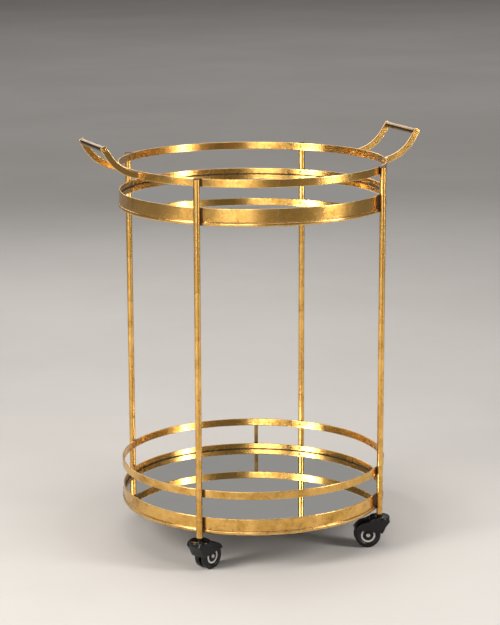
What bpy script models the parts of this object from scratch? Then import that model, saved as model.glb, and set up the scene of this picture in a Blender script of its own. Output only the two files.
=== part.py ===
"""Round two-tier bar cart: four tube posts, two framed mirror trays, gallery rails,
two bail handles and four twin-wheel swivel casters.

Metres, +Z up.  The origin is on the floor under the middle of the trays and
+X points at the right-hand handle, so the posts stand on the diagonals.
"""

import math

import bmesh
import bpy
from mathutils import Matrix, Vector

# ---------------------------------------------------------------- clearances
GAP = 0.0003  # between faces that touch
RUN = 0.0004  # round a wheel or a swivel pin

# -------------------------------------------------------------------- layout
RING_RADIUS = 0.2603  # outside of the gallery rails and of the trays' bottom bead
TIER_SPACING = 0.590  # from one tray to the other
RAIL_ABOVE_TRAY = 0.054  # from a tray's top edge to its rail's top edge
RING_STEPS = 60
SMOOTH_ANGLE = math.radians(32.0)
BEVEL_ANGLE = math.radians(50.0)

# --------------------------------------------------------------------- trays
TRAY_HEIGHT = {"lower": 0.031, "upper": 0.033}
TRAY_WALL = 0.0026
BEAD_HEIGHT = 0.0068
BEAD_PROUD = 0.0018  # how far the bead stands out from the wall
BEAD_GROOVE = 0.0008  # depth of the line above the bead
GROOVE_HEIGHT = 0.0012
LEDGE_WIDTH = 0.011
LEDGE_THICKNESS = 0.0022
BOARD_THICKNESS = 0.006
MIRROR_THICKNESS = 0.004
MIRROR_DEPTH = 0.012  # glass below the tray's top edge
EDGE_ROUND = 0.0006

# --------------------------------------------------------------------- rails
RAIL_HEIGHT = 0.015
RAIL_THICKNESS = 0.003

# --------------------------------------------------------------------- posts
POST_RADIUS = 0.006
POST_WALL = 0.001
POST_BELOW_TRAY = 0.0085
POST_STEPS = 16
CAP_DISC = 0.0012
CAP_PLUG = 0.009

# --------------------------------------------------------------------- stay
STAY_WIDTH = 0.0075
STAY_THICKNESS = 0.0022
STAY_AZIMUTH = math.radians(66.0)  # from +X

# ------------------------------------------------------------------- handles
ARM_SPREAD = 0.064  # from the cart's middle plane to each arm
ARM_THICKNESS = 0.0035
ARM_HEIGHT = 0.0122
ARM_BEND_RADIUS = 0.0846
ARM_ROOT_SLOPE = math.radians(7.0)
ARM_TIP_SLOPE = math.radians(58.0)
ARM_STRAIGHT = 0.0152  # from the end of the bend to the grip's axis
ARM_PAST_GRIP = 0.0061  # from the grip's axis to the squared tip
ARM_CORNER = 0.0033  # rounding of the tip's two corners
ARM_LEAD = 0.004  # runs into the rail's space and is trimmed to it
ARM_BEND_STEPS = 9
ARM_CORNER_STEPS = 4
FOOT_LENGTH = 0.013
FOOT_THICKNESS = 0.0028
FOOT_STEPS = 3
FOOT_SCREW_FROM_END = 0.0052
GRIP_RADIUS = 0.006
GRIP_STEPS = 16

# ------------------------------------------------------------------- screws
SCREW_RADIUS = 0.0019
SCREW_HEAD_RADIUS = 0.0036
FOOT_SCREW_HEAD = 0.0020  # height of the head
GRIP_SCREW_HEAD = 0.0010
SCREW_RIM_SHARE = 0.45  # upright part of the head's side
SCREW_DOME_RADIUS = 0.0022  # flat middle of the head
SCREW_DEPTH = 0.014  # in the grip
SCREW_STEPS = 12
ARM_SCREW_PROUD = 0.0018  # end of a foot screw past its foot

# ------------------------------------------------------------------- casters
WHEEL_RADIUS = 0.025
WHEEL_WIDTH = 0.0105
WHEEL_SHOULDER = 0.0022
WHEEL_STEPS = 24
WHEEL_DISH = 0.0022
WHEEL_RIM_WALL = 0.0048
CASTER_TRAIL = 0.024
AXLE_RADIUS = 0.004
WEB_THICKNESS = 0.0048
WEB_EYE_RADIUS = 0.0085
WEB_STEP = 0.0003  # the web stands this far out of the hood's middle wall
HOOD_WALL = 0.0020
HOOD_WHEEL_GAP = 0.0012  # over the tread
HOOD_SIDE_GAP = 0.0008  # beside the wheels
TURRET_RADIUS = 0.0205
TURRET_HEIGHT = 0.009
HOOD_EDGE = 0.0012
HOOD_EDGE_MIDDLE = 0.0004  # of the turret's rounded edge
HOOD_RISE = 0.011  # over the wheels' tops
VISOR_START = math.radians(88.0)
VISOR_END = math.radians(25.0)
VISOR_STEPS = 6
EYE_START = math.radians(-150.0)
EYE_END = math.radians(35.0)
EYE_STEPS = 9
# shares of the wheel's radius, from its centre
NOSE_LOW = 0.13
NOSE_RISE = 0.62
WEB_RISE = 0.80
WEB_FRONT = 0.60
WEB_BACK = 0.95
NOSE_REACH = 1.22  # share of the hood's outer curve
# shares of the turret's radius, from its middle
BROW_FOOT = 0.92
BROW_TOP = 0.72
BROW_END = 0.55
TURRET_STEPS = 20
CAVITY_STEPS = 28
AXLE_STEPS = 12
STEM_RADIUS = 0.0035
STEM_IN_HOOD = 0.013
STEM_IN_POST = 0.036
SHOULDER_INSET = 0.0015  # from the post's outside
SHOULDER_HEIGHT = 0.0034
SOCKET_EXTRA = 0.003  # socket past the stem's end
STEM_STEPS = 12

# each post's name, the signs of its X and Y, and the way its caster trails
CORNERS = {
    "front_left": (-1, -1, math.radians(27.5)),
    "front_right": (1, -1, math.radians(165.0)),
    "back_left": (-1, 1, math.radians(-24.0)),
    "back_right": (1, 1, math.radians(196.0)),
}

# ------------------------------------------------------------------- derived
POST_CIRCLE = RING_RADIUS + GAP + POST_RADIUS
POST_XY = POST_CIRCLE / math.sqrt(2.0)
WALL_RADIUS = RING_RADIUS - BEAD_PROUD
HOOD_TOP = 2.0 * WHEEL_RADIUS + HOOD_RISE
SHOULDER_RADIUS = POST_RADIUS - SHOULDER_INSET
POST_BOTTOM = HOOD_TOP + SHOULDER_HEIGHT + 2.0 * GAP
LOWER_TRAY_BOTTOM = POST_BOTTOM + POST_BELOW_TRAY
FACET_SHRINK = math.cos(math.pi / RING_STEPS)  # middle of a ring's flat against its corner
TRAY_TOP = {"lower": LOWER_TRAY_BOTTOM + TRAY_HEIGHT["lower"]}
TRAY_TOP["upper"] = TRAY_TOP["lower"] + TIER_SPACING
RAIL_TOP = {tier: top + RAIL_ABOVE_TRAY for tier, top in TRAY_TOP.items()}
POST_TOP = RAIL_TOP["upper"] - CAP_DISC / 2.0
FRAME_Z = RAIL_TOP["upper"] - RAIL_HEIGHT / 2.0  # middle of the upper rail
WHEEL_OUTER_Y = WEB_THICKNESS / 2.0 + RUN + WHEEL_WIDTH
HOOD_HALF_WIDTH = WHEEL_OUTER_Y + HOOD_SIDE_GAP + HOOD_WALL


# ---------------------------------------------------------------- materials
def make_material(name, colour, roughness, metallic):
    material = bpy.data.materials.new(name)
    material.use_nodes = True
    shader = material.node_tree.nodes["Principled BSDF"]
    shader.inputs["Base Color"].default_value = (*colour, 1.0)
    shader.inputs["Roughness"].default_value = roughness
    shader.inputs["Metallic"].default_value = metallic
    return material


def make_materials():
    return {
        "gold_leaf": make_material("gold_leaf", (0.80, 0.55, 0.20), 0.30, 1.0),
        "mirror": make_material("mirror", (0.93, 0.93, 0.92), 0.02, 1.0),
        "board": make_material("board", (0.03, 0.03, 0.03), 0.70, 0.0),
        "black_plastic": make_material("black_plastic", (0.012, 0.012, 0.013), 0.32, 0.0),
        "wheel": make_material("wheel", (0.02, 0.02, 0.022), 0.45, 0.0),
        "steel": make_material("steel", (0.62, 0.60, 0.58), 0.28, 1.0),
        "dark_plug": make_material("dark_plug", (0.05, 0.035, 0.02), 0.50, 0.0),
    }


# ------------------------------------------------------------ mesh building
def finish_mesh(bm, name):
    """Face every polygon outward and shade the round parts smooth."""
    bmesh.ops.recalc_face_normals(bm, faces=bm.faces)
    mesh = bpy.data.meshes.new(name)
    bm.to_mesh(mesh)
    bm.free()
    mesh.shade_smooth()
    mesh.set_sharp_from_angle(angle=SMOOTH_ANGLE)
    return mesh


def turned(name, profile, steps, closed, axis=(0.0, 0.0, 1.0)):
    """Spin a (radius, height) profile about an axis through the origin.

    A closed profile makes a ring.  An open one makes a solid whose two round
    ends are filled in.
    """
    along = Vector(axis)
    across = Vector((1.0, 0.0, 0.0))
    if abs(along.x) > 0.5:
        across = Vector((0.0, 1.0, 0.0))
    bm = bmesh.new()
    verts = [bm.verts.new(across * radius + along * height) for radius, height in profile]
    edges = [bm.edges.new(pair) for pair in zip(verts, verts[1:])]
    if closed:
        edges.append(bm.edges.new((verts[-1], verts[0])))
    bmesh.ops.spin(
        bm,
        geom=verts + edges,
        cent=(0.0, 0.0, 0.0),
        axis=along,
        angle=math.tau,
        steps=steps,
        use_merge=True,
    )
    if not closed:
        rims = [edge for edge in bm.edges if edge.is_boundary]
        bmesh.ops.holes_fill(bm, edges=rims, sides=0)
    return finish_mesh(bm, name)


def extruded(name, outline, low, high):
    """Close an (x, z) outline and extrude it along Y from low to high."""
    bm = bmesh.new()
    verts = [bm.verts.new((x, low, z)) for x, z in outline]
    face = bm.faces.new(verts)
    grown = bmesh.ops.extrude_face_region(bm, geom=[face])
    moved = [item for item in grown["geom"] if isinstance(item, bmesh.types.BMVert)]
    bmesh.ops.translate(bm, vec=(0.0, high - low, 0.0), verts=moved)
    return finish_mesh(bm, name)


def arc_points(centre, radius, start, end, steps):
    """Points along an arc in the (x, z) plane, both ends included."""
    points = []
    for index in range(steps + 1):
        angle = start + (end - start) * index / steps
        points.append((centre[0] + radius * math.cos(angle), centre[1] + radius * math.sin(angle)))
    return points


def add_object(name, mesh, material, parent=None):
    thing = bpy.data.objects.new(name, mesh)
    bpy.context.scene.collection.objects.link(thing)
    if not mesh.materials:
        mesh.materials.append(material)
    thing.parent = parent
    return thing


def combine(target, other, operation):
    """Apply a Boolean with another object, then remove that object."""
    modifier = target.modifiers.new("combine", "BOOLEAN")
    modifier.operation = operation
    modifier.solver = "EXACT"
    modifier.object = other
    apply_modifiers(target)
    spare = other.data
    bpy.data.objects.remove(other)
    bpy.data.meshes.remove(spare)


def apply_modifiers(target):
    bpy.context.view_layer.update()
    graph = bpy.context.evaluated_depsgraph_get()
    baked = bpy.data.meshes.new_from_object(target.evaluated_get(graph))
    spare = target.data
    target.modifiers.clear()
    target.data = baked
    if spare.users == 0:
        bpy.data.meshes.remove(spare)
    target.data.name = target.name
    target.data.shade_smooth()
    target.data.set_sharp_from_angle(angle=SMOOTH_ANGLE)


def round_edges(target, width, segments):
    modifier = target.modifiers.new("round_edges", "BEVEL")
    modifier.width = width
    modifier.segments = segments
    modifier.limit_method = "ANGLE"
    modifier.angle_limit = BEVEL_ANGLE
    apply_modifiers(target)


def round_bar(radius, start, end, material, steps=SCREW_STEPS):
    """A plain round cutter from one point to another."""
    span = Vector(end) - Vector(start)
    mesh = turned("round_bar", [(radius, span.length), (radius, 0.0)], steps, closed=False)
    bar = add_object("round_bar", mesh, material)
    turn = Vector((0.0, 0.0, 1.0)).rotation_difference(span).to_matrix().to_4x4()
    mesh.transform(Matrix.Translation(Vector(start)) @ turn)
    return bar


# --------------------------------------------------------------------- rings
def rail_profile():
    """Flat strip on edge, with its four corners eased."""
    outer = RING_RADIUS
    inner = RING_RADIUS - RAIL_THICKNESS
    high = RAIL_HEIGHT / 2.0
    ease = EDGE_ROUND
    return [
        (outer - ease, high),
        (outer, high - ease),
        (outer, -high + ease),
        (outer - ease, -high),
        (inner + ease, -high),
        (inner, -high + ease),
        (inner, high - ease),
        (inner + ease, high),
    ]


def tray_profile(height):
    """Wall with a bottom bead outside and a ledge for the board inside."""
    inner = WALL_RADIUS - TRAY_WALL
    ledge = inner - LEDGE_WIDTH
    ledge_top = height - MIRROR_DEPTH - MIRROR_THICKNESS - BOARD_THICKNESS - 2.0 * GAP
    ease = EDGE_ROUND
    return [
        (WALL_RADIUS - ease, height),
        (WALL_RADIUS, height - ease),
        (WALL_RADIUS, BEAD_HEIGHT + GROOVE_HEIGHT),
        (WALL_RADIUS - BEAD_GROOVE, BEAD_HEIGHT),
        (RING_RADIUS - ease, BEAD_HEIGHT - ease),
        (RING_RADIUS, BEAD_HEIGHT / 2.0),
        (RING_RADIUS - ease, 0.0),
        (inner - ease, 0.0),
        (inner - ease, ledge_top - LEDGE_THICKNESS),
        (ledge, ledge_top - LEDGE_THICKNESS),
        (ledge, ledge_top),
        (inner, ledge_top),
        (inner, height - ease),
        (inner + ease, height),
    ]


def disc_profile(radius, bottom, thickness):
    return [(radius, bottom + thickness), (radius, bottom)]


def add_tier(tier, materials):
    height = TRAY_HEIGHT[tier]
    tray_bottom = TRAY_TOP[tier] - height
    frame = turned(f"{tier}_tray_ring", tray_profile(height), RING_STEPS, closed=True)
    add_object(f"{tier}_tray_ring", frame, materials["gold_leaf"]).location.z = tray_bottom

    rail = turned(f"{tier}_gallery_rail", rail_profile(), RING_STEPS, closed=True)
    rail_object = add_object(f"{tier}_gallery_rail", rail, materials["gold_leaf"])
    rail_object.location.z = RAIL_TOP[tier] - RAIL_HEIGHT / 2.0

    plate_radius = WALL_RADIUS - TRAY_WALL - 2.0 * GAP
    glass_bottom = height - MIRROR_DEPTH - MIRROR_THICKNESS
    glass = turned(
        f"{tier}_mirror",
        disc_profile(plate_radius, glass_bottom, MIRROR_THICKNESS),
        RING_STEPS,
        closed=False,
    )
    add_object(f"{tier}_mirror", glass, materials["mirror"]).location.z = tray_bottom

    board_bottom = glass_bottom - GAP - BOARD_THICKNESS
    board = turned(
        f"{tier}_backing_board",
        disc_profile(plate_radius, board_bottom, BOARD_THICKNESS),
        RING_STEPS,
        closed=False,
    )
    add_object(f"{tier}_backing_board", board, materials["board"]).location.z = tray_bottom
    return rail_object


def add_stay(materials):
    """Short flat upright that ties the lower rail to the lower tray at the back."""
    near = RING_RADIUS + GAP
    low = LOWER_TRAY_BOTTOM
    high = RAIL_TOP["lower"] - EDGE_ROUND
    outline = [(near, low), (near + STAY_THICKNESS, low), (near + STAY_THICKNESS, high), (near, high)]
    mesh = extruded("rail_stay", outline, -STAY_WIDTH / 2.0, STAY_WIDTH / 2.0)
    stay = add_object("rail_stay", mesh, materials["gold_leaf"])
    round_edges(stay, EDGE_ROUND, 1)
    stay.rotation_euler.z = STAY_AZIMUTH


# --------------------------------------------------------------------- posts
def add_post(corner, x, y, materials):
    bore = POST_RADIUS - POST_WALL
    length = POST_TOP - POST_BOTTOM
    tube = turned(
        f"post_{corner}",
        [(POST_RADIUS, length), (POST_RADIUS, 0.0), (bore, 0.0), (bore, length)],
        POST_STEPS,
        closed=True,
    )
    add_object(f"post_{corner}", tube, materials["gold_leaf"]).location = (x, y, POST_BOTTOM)

    plug = bore - GAP
    cap = turned(
        f"post_cap_{corner}",
        [
            (POST_RADIUS - EDGE_ROUND, GAP + CAP_DISC),
            (POST_RADIUS, GAP + CAP_DISC - EDGE_ROUND),
            (POST_RADIUS, GAP),
            (plug, GAP),
            (plug, -CAP_PLUG),
        ],
        POST_STEPS,
        closed=False,
    )
    add_object(f"post_cap_{corner}", cap, materials["dark_plug"]).location = (x, y, POST_TOP)

    sleeve_top = STEM_IN_POST + SOCKET_EXTRA
    hole = STEM_RADIUS + GAP
    socket = turned(
        f"stem_socket_{corner}",
        [(plug, sleeve_top), (plug, 0.0), (hole, 0.0), (hole, sleeve_top)],
        STEM_STEPS,
        closed=True,
    )
    add_object(f"stem_socket_{corner}", socket, materials["black_plastic"]).location = (x, y, POST_BOTTOM)


# ------------------------------------------------------------------- handles
def arm_path():
    """Middle line of an arm in (x, z), from inside the rail to the grip's axis."""
    root_x = math.sqrt(RING_RADIUS**2 - ARM_SPREAD**2)
    start = (root_x, FRAME_Z)
    lead_x = start[0] - ARM_LEAD * math.cos(ARM_ROOT_SLOPE)
    lead_z = start[1] - ARM_LEAD * math.sin(ARM_ROOT_SLOPE)
    points = [(lead_x, lead_z)]
    centre = (
        start[0] - ARM_BEND_RADIUS * math.sin(ARM_ROOT_SLOPE),
        start[1] + ARM_BEND_RADIUS * math.cos(ARM_ROOT_SLOPE),
    )
    quarter = math.pi / 2.0
    points += arc_points(
        centre, ARM_BEND_RADIUS, ARM_ROOT_SLOPE - quarter, ARM_TIP_SLOPE - quarter, ARM_BEND_STEPS
    )
    end = points[-1]
    points.append(
        (end[0] + ARM_STRAIGHT * math.cos(ARM_TIP_SLOPE), end[1] + ARM_STRAIGHT * math.sin(ARM_TIP_SLOPE))
    )
    return points


def arm_tip_corner(grip_axis, side):
    """Eased corner of the tip, under (-1) or over (1) the middle line."""
    along = ARM_PAST_GRIP - ARM_CORNER
    across = side * (ARM_HEIGHT / 2.0 - ARM_CORNER)
    cosine = math.cos(ARM_TIP_SLOPE)
    sine = math.sin(ARM_TIP_SLOPE)
    centre = (grip_axis[0] + along * cosine - across * sine, grip_axis[1] + along * sine + across * cosine)
    quarter = math.pi / 2.0
    start = ARM_TIP_SLOPE + (side - 1) * quarter / 2.0
    return arc_points(centre, ARM_CORNER, start, start + quarter, ARM_CORNER_STEPS)


def arm_outline():
    """Strip of even height round the middle line, with a squared tip and eased corners."""
    half = ARM_HEIGHT / 2.0
    path = arm_path()
    slopes = [ARM_ROOT_SLOPE]
    for index in range(ARM_BEND_STEPS + 1):
        slopes.append(ARM_ROOT_SLOPE + (ARM_TIP_SLOPE - ARM_ROOT_SLOPE) * index / ARM_BEND_STEPS)
    slopes.append(ARM_TIP_SLOPE)
    under = [(x + half * math.sin(s), z - half * math.cos(s)) for (x, z), s in zip(path, slopes)]
    over = [(x - half * math.sin(s), z + half * math.cos(s)) for (x, z), s in zip(path, slopes)]
    tip = arm_tip_corner(path[-1], -1) + arm_tip_corner(path[-1], 1)
    return under[:-1] + tip + over[-2::-1]


GRIP_X, GRIP_Z = arm_path()[-1]
FOOT_START = math.asin((ARM_SPREAD - ARM_THICKNESS / 2.0) / RING_RADIUS)
FOOT_END = FOOT_START + FOOT_LENGTH / RING_RADIUS
ARM_SCREW_ANGLE = FOOT_END - FOOT_SCREW_FROM_END / RING_RADIUS


def foot_mesh():
    """Tab bent along the outside of the rail, away from the other arm."""
    near = RING_RADIUS + GAP
    far = near + FOOT_THICKNESS
    half = ARM_HEIGHT / 2.0 - EDGE_ROUND / 2.0
    corners = [(near, -half), (far, -half), (far, half), (near, half)]
    bm = bmesh.new()
    start = Matrix.Rotation(FOOT_START, 3, "Z")
    verts = [bm.verts.new(start @ Vector((radius, 0.0, height))) for radius, height in corners]
    face = bm.faces.new(verts)
    bmesh.ops.spin(
        bm,
        geom=[face],
        cent=(0.0, 0.0, 0.0),
        axis=(0.0, 0.0, 1.0),
        angle=FOOT_END - FOOT_START,
        steps=FOOT_STEPS,
    )
    bmesh.ops.translate(bm, vec=(0.0, 0.0, FRAME_Z), verts=bm.verts)
    return finish_mesh(bm, "foot")


def screw_mesh(name, under_head, head_height):
    """Domed screw along +Z: its head is below the origin, its shank above."""
    return turned(
        name,
        [
            (SCREW_RADIUS - EDGE_ROUND, under_head),
            (SCREW_RADIUS, under_head - EDGE_ROUND),
            (SCREW_RADIUS, 0.0),
            (SCREW_HEAD_RADIUS, 0.0),
            (SCREW_HEAD_RADIUS, -head_height * SCREW_RIM_SHARE),
            (SCREW_DOME_RADIUS, -head_height),
        ],
        SCREW_STEPS,
        closed=False,
    )


def mirror_mesh(mesh, sign_x, sign_y):
    """Move a mesh into another quadrant and keep its faces outward."""
    mesh.transform(Matrix.Diagonal((sign_x, sign_y, 1.0, 1.0)))
    if sign_x * sign_y < 0:
        mesh.flip_normals()


def add_arm(name, sign_x, sign_y, materials):
    low = ARM_SPREAD - ARM_THICKNESS / 2.0
    arm = add_object(name, extruded(name, arm_outline(), low, low + ARM_THICKNESS), materials["gold_leaf"])
    round_edges(arm, EDGE_ROUND, 1)
    rail_space = round_bar(
        RING_RADIUS + GAP,
        (0.0, 0.0, FRAME_Z - 2.0 * ARM_HEIGHT),
        (0.0, 0.0, FRAME_Z + 2.0 * ARM_HEIGHT),
        materials["steel"],
        2 * RING_STEPS,
    )
    combine(arm, rail_space, "DIFFERENCE")
    combine(arm, add_object("foot", foot_mesh(), materials["gold_leaf"]), "UNION")
    hole = SCREW_RADIUS + GAP
    reach = low + 2.0 * ARM_THICKNESS
    tip_start = (GRIP_X, low - ARM_THICKNESS, GRIP_Z)
    tip_end = (GRIP_X, reach, GRIP_Z)
    combine(arm, round_bar(hole, tip_start, tip_end, materials["steel"]), "DIFFERENCE")
    combine(arm, foot_screw_hole(1, 1, materials), "DIFFERENCE")
    mirror_mesh(arm.data, sign_x, sign_y)


def foot_screw_hole(sign_x, sign_y, materials):
    """Radial cutter through the rail and an arm's foot."""
    way = Vector((sign_x * math.cos(ARM_SCREW_ANGLE), sign_y * math.sin(ARM_SCREW_ANGLE), 0.0))
    height = Vector((0.0, 0.0, FRAME_Z))
    start = way * (RING_RADIUS - 3.0 * RAIL_THICKNESS) + height
    end = way * (RING_RADIUS + 3.0 * FOOT_THICKNESS) + height
    return round_bar(SCREW_RADIUS + GAP, start, end, materials["steel"])


def add_foot_screw(name, sign_x, sign_y, materials):
    """Screw from inside the rail, out through the arm's foot."""
    way = Vector((sign_x * math.cos(ARM_SCREW_ANGLE), sign_y * math.sin(ARM_SCREW_ANGLE), 0.0))
    seat = (RING_RADIUS - RAIL_THICKNESS) * FACET_SHRINK - GAP
    length = RING_RADIUS + GAP + FOOT_THICKNESS + ARM_SCREW_PROUD - seat
    screw = add_object(name, screw_mesh(name, length, FOOT_SCREW_HEAD), materials["gold_leaf"])
    screw.rotation_euler = Vector((0.0, 0.0, 1.0)).rotation_difference(way).to_euler()
    screw.location = way * seat + Vector((0.0, 0.0, FRAME_Z))


def add_grip(side, sign_x, materials):
    half = ARM_SPREAD - ARM_THICKNESS / 2.0 - GAP
    hole = SCREW_RADIUS + GAP
    depth = SCREW_DEPTH + 2.0 * GAP
    profile = [
        (hole, half - depth),
        (hole, half),
        (GRIP_RADIUS - EDGE_ROUND, half),
        (GRIP_RADIUS, half - EDGE_ROUND),
        (GRIP_RADIUS, EDGE_ROUND - half),
        (GRIP_RADIUS - EDGE_ROUND, -half),
        (hole, -half),
        (hole, depth - half),
    ]
    mesh = turned(f"grip_{side}", profile, GRIP_STEPS, closed=False, axis=(0.0, 1.0, 0.0))
    add_object(f"grip_{side}", mesh, materials["gold_leaf"]).location = (sign_x * GRIP_X, 0.0, GRIP_Z)


def add_grip_screw(name, sign_x, sign_y, materials):
    seat = ARM_SPREAD + ARM_THICKNESS / 2.0 + GAP
    length = seat - (ARM_SPREAD - ARM_THICKNESS / 2.0 - GAP) + SCREW_DEPTH
    screw = add_object(name, screw_mesh(name, length, GRIP_SCREW_HEAD), materials["gold_leaf"])
    screw.rotation_euler.x = sign_y * math.pi / 2.0
    screw.location = (sign_x * GRIP_X, sign_y * seat, GRIP_Z)


def add_handle(side, sign_x, rail, materials):
    for place, sign_y in (("front", -1), ("back", 1)):
        add_arm(f"handle_arm_{side}_{place}", sign_x, sign_y, materials)
        add_foot_screw(f"arm_screw_{side}_{place}", sign_x, sign_y, materials)
        add_grip_screw(f"grip_screw_{side}_{place}", sign_x, sign_y, materials)
        cutter = foot_screw_hole(sign_x, sign_y, materials)
        combine(rail, cutter, "DIFFERENCE")
    add_grip(side, sign_x, materials)


# ------------------------------------------------------------------- casters
def hood_outline():
    """Side view of the hood: turret over the stem, visor over the wheels."""
    cavity = WHEEL_RADIUS + HOOD_WHEEL_GAP
    outer = cavity + HOOD_WALL
    hub = (CASTER_TRAIL, WHEEL_RADIUS)
    turret_foot = HOOD_TOP - TURRET_HEIGHT
    visor = arc_points(hub, outer, VISOR_START, VISOR_END, VISOR_STEPS)
    nose_low = (hub[0] - outer, hub[1] + NOSE_LOW * WHEEL_RADIUS)
    nose_high = (hub[0] - NOSE_REACH * outer, hub[1] + NOSE_RISE * WHEEL_RADIUS)
    return [
        nose_low,
        nose_high,
        (-BROW_FOOT * TURRET_RADIUS, turret_foot),
        (-BROW_TOP * TURRET_RADIUS, HOOD_TOP - EDGE_ROUND),
        (BROW_END * TURRET_RADIUS, HOOD_TOP - EDGE_ROUND),
    ] + visor


def web_outline():
    """Plate between the wheels, from the hood down round the axle."""
    hub = (CASTER_TRAIL, WHEEL_RADIUS)
    eye = arc_points(hub, WEB_EYE_RADIUS, EYE_START, EYE_END, EYE_STEPS)
    top = hub[1] + WEB_RISE * WHEEL_RADIUS
    front = (hub[0] + WEB_FRONT * WHEEL_RADIUS, top)
    back = (hub[0] - WEB_BACK * WHEEL_RADIUS, top)
    return eye + [front, back]


def hood_mesh(materials):
    hub = Vector((CASTER_TRAIL, 0.0, WHEEL_RADIUS))
    cavity = WHEEL_RADIUS + HOOD_WHEEL_GAP
    half = HOOD_HALF_WIDTH
    hood = add_object("hood", extruded("hood", hood_outline(), -half, half), materials["black_plastic"])
    round_edges(hood, HOOD_EDGE, 1)
    turret = turned(
        "turret",
        [
            (TURRET_RADIUS - HOOD_EDGE, HOOD_TOP),
            (TURRET_RADIUS - HOOD_EDGE_MIDDLE, HOOD_TOP - HOOD_EDGE_MIDDLE),
            (TURRET_RADIUS, HOOD_TOP - HOOD_EDGE),
            (TURRET_RADIUS, HOOD_TOP - TURRET_HEIGHT),
        ],
        TURRET_STEPS,
        closed=False,
    )
    combine(hood, add_object("turret", turret, materials["black_plastic"]), "UNION")
    for side in (-1, 1):
        start = hub + Vector((0.0, side * (WEB_THICKNESS / 2.0 - WEB_STEP), 0.0))
        end = hub + Vector((0.0, side * (WHEEL_OUTER_Y + HOOD_SIDE_GAP), 0.0))
        combine(hood, round_bar(cavity, start, end, materials["steel"], CAVITY_STEPS), "DIFFERENCE")
    web = extruded("web", web_outline(), -WEB_THICKNESS / 2.0, WEB_THICKNESS / 2.0)
    combine(hood, add_object("web", web, materials["black_plastic"]), "UNION")
    axle_start = hub - Vector((0.0, half, 0.0))
    axle_end = hub + Vector((0.0, half, 0.0))
    axle_hole = round_bar(AXLE_RADIUS + GAP, axle_start, axle_end, materials["steel"], AXLE_STEPS)
    combine(hood, axle_hole, "DIFFERENCE")
    stem_low = (0.0, 0.0, HOOD_TOP - STEM_IN_HOOD - GAP)
    stem_high = (0.0, 0.0, HOOD_TOP + STEM_IN_HOOD)
    stem_hole = round_bar(STEM_RADIUS + RUN, stem_low, stem_high, materials["steel"], STEM_STEPS)
    combine(hood, stem_hole, "DIFFERENCE")
    mesh = hood.data
    bpy.data.objects.remove(hood)
    mesh.name = "caster_hood"
    return mesh


def stem_mesh():
    """Steel pin: held in the post, with a shoulder over the hood."""
    shoulder_low = HOOD_TOP + GAP
    shoulder_high = POST_BOTTOM - GAP
    return turned(
        "caster_stem",
        [
            (STEM_RADIUS - EDGE_ROUND, POST_BOTTOM + STEM_IN_POST),
            (STEM_RADIUS, POST_BOTTOM + STEM_IN_POST - EDGE_ROUND),
            (STEM_RADIUS, shoulder_high),
            (SHOULDER_RADIUS, shoulder_high),
            (SHOULDER_RADIUS, shoulder_low),
            (STEM_RADIUS, shoulder_low),
            (STEM_RADIUS, HOOD_TOP - STEM_IN_HOOD),
        ],
        STEM_STEPS,
        closed=False,
    )


def axle_mesh():
    half = WHEEL_OUTER_Y + RUN
    return turned(
        "caster_axle",
        [
            (AXLE_RADIUS - EDGE_ROUND, half),
            (AXLE_RADIUS, half - EDGE_ROUND),
            (AXLE_RADIUS, EDGE_ROUND - half),
            (AXLE_RADIUS - EDGE_ROUND, -half),
        ],
        AXLE_STEPS,
        closed=False,
        axis=(0.0, 1.0, 0.0),
    )


def wheel_mesh(side):
    """One of the twin wheels: round-shouldered tread, dished outer face."""
    low = WHEEL_OUTER_Y - WHEEL_WIDTH
    high = WHEEL_OUTER_Y
    bore = AXLE_RADIUS + RUN
    rim = WHEEL_RADIUS - WHEEL_SHOULDER - WHEEL_RIM_WALL
    dish = rim - WHEEL_DISH
    profile = [
        (bore, high - WHEEL_DISH),
        (dish, high - WHEEL_DISH),
        (rim, high),
        (WHEEL_RADIUS - WHEEL_SHOULDER, high),
        (WHEEL_RADIUS, high - WHEEL_SHOULDER),
        (WHEEL_RADIUS, low + WHEEL_SHOULDER),
        (WHEEL_RADIUS - WHEEL_SHOULDER, low),
        (bore, low),
    ]
    mirrored = [(radius, side * height) for radius, height in profile]
    return turned(f"wheel_{side}", mirrored, WHEEL_STEPS, closed=True, axis=(0.0, 1.0, 0.0))


def add_caster(corner, x, y, trail_way, shapes, materials):
    swivel = bpy.data.objects.new(f"swivel_{corner}", None)
    bpy.context.scene.collection.objects.link(swivel)
    swivel.location = (x, y, 0.0)
    swivel.rotation_euler.z = trail_way
    add_object(f"caster_stem_{corner}", shapes["stem"], materials["steel"]).location = (x, y, 0.0)
    add_object(f"caster_hood_{corner}", shapes["hood"], materials["black_plastic"], swivel)
    hub = (CASTER_TRAIL, 0.0, WHEEL_RADIUS)
    add_object(f"caster_axle_{corner}", shapes["axle"], materials["steel"], swivel).location = hub
    for place in ("a", "b"):
        wheel = add_object(f"wheel_{corner}_{place}", shapes[f"wheel_{place}"], materials["wheel"], swivel)
        wheel.location = hub


def main():
    for thing in list(bpy.data.objects):
        bpy.data.objects.remove(thing)
    materials = make_materials()
    add_tier("lower", materials)
    upper_rail = add_tier("upper", materials)
    add_stay(materials)
    add_handle("left", -1, upper_rail, materials)
    add_handle("right", 1, upper_rail, materials)
    shapes = {
        "stem": stem_mesh(),
        "hood": hood_mesh(materials),
        "axle": axle_mesh(),
        "wheel_a": wheel_mesh(-1),
        "wheel_b": wheel_mesh(1),
    }
    for corner, (sign_x, sign_y, trail_way) in CORNERS.items():
        x = sign_x * POST_XY
        y = sign_y * POST_XY
        add_post(corner, x, y, materials)
        add_caster(corner, x, y, trail_way, shapes, materials)


main()
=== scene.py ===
"""Round two-tier bar cart in gold leaf.

Finished pieces, materials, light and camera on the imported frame.
"""

import math

import bmesh
import bpy
from mathutils import Matrix, Vector, noise


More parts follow.
